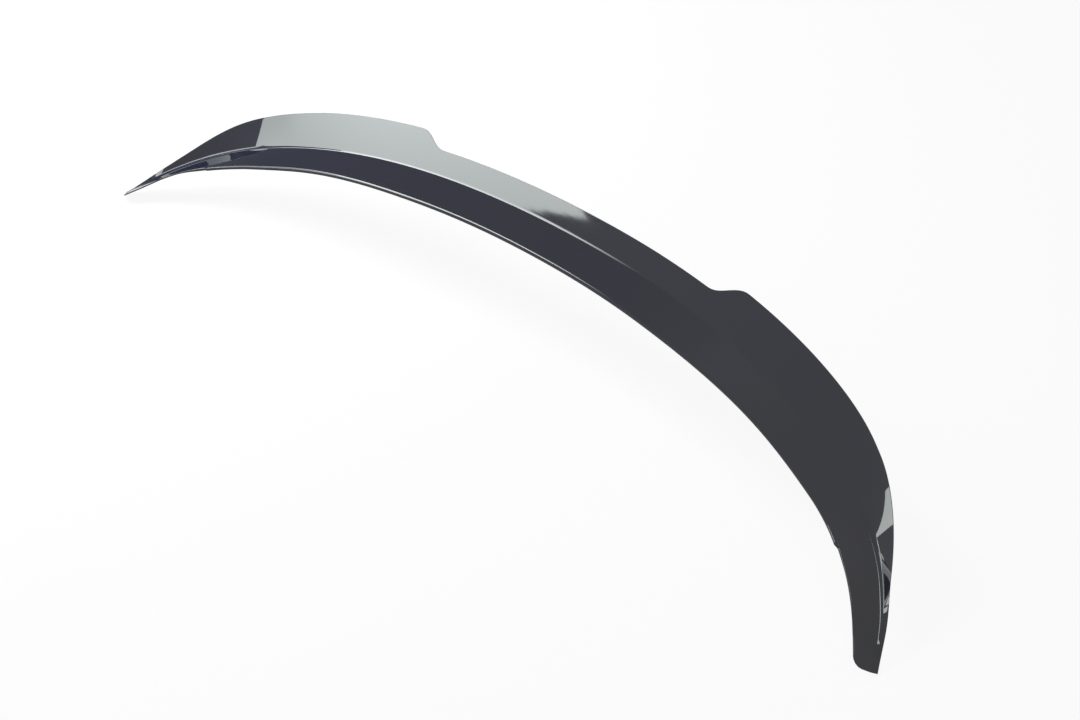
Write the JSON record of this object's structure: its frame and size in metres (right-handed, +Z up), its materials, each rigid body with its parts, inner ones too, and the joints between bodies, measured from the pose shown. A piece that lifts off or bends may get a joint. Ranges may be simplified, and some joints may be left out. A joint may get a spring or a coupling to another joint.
{
  "type": "spoiler extension",
  "caption": "Bowed gloss-black boot-lid lip: a front flange creased up into a wing that is trimmed low in the middle, with forward-wrapping tapered ends, stuck down along the flange.",
  "frame": {"origin": "middle of the underside of the flange, on the mirror plane, where the part is stuck to the lid", "axes": "as fitted on a car: +X across the lid, +Y towards the rear, +Z up"},
  "size_m": [1.2, 0.2568, 0.1381],
  "materials": {
    "gloss_black": "high gloss"
  },
  "bodies": {
    "root": {"spoiler_extension": "gloss_black"}
  },
  "joints": []
}
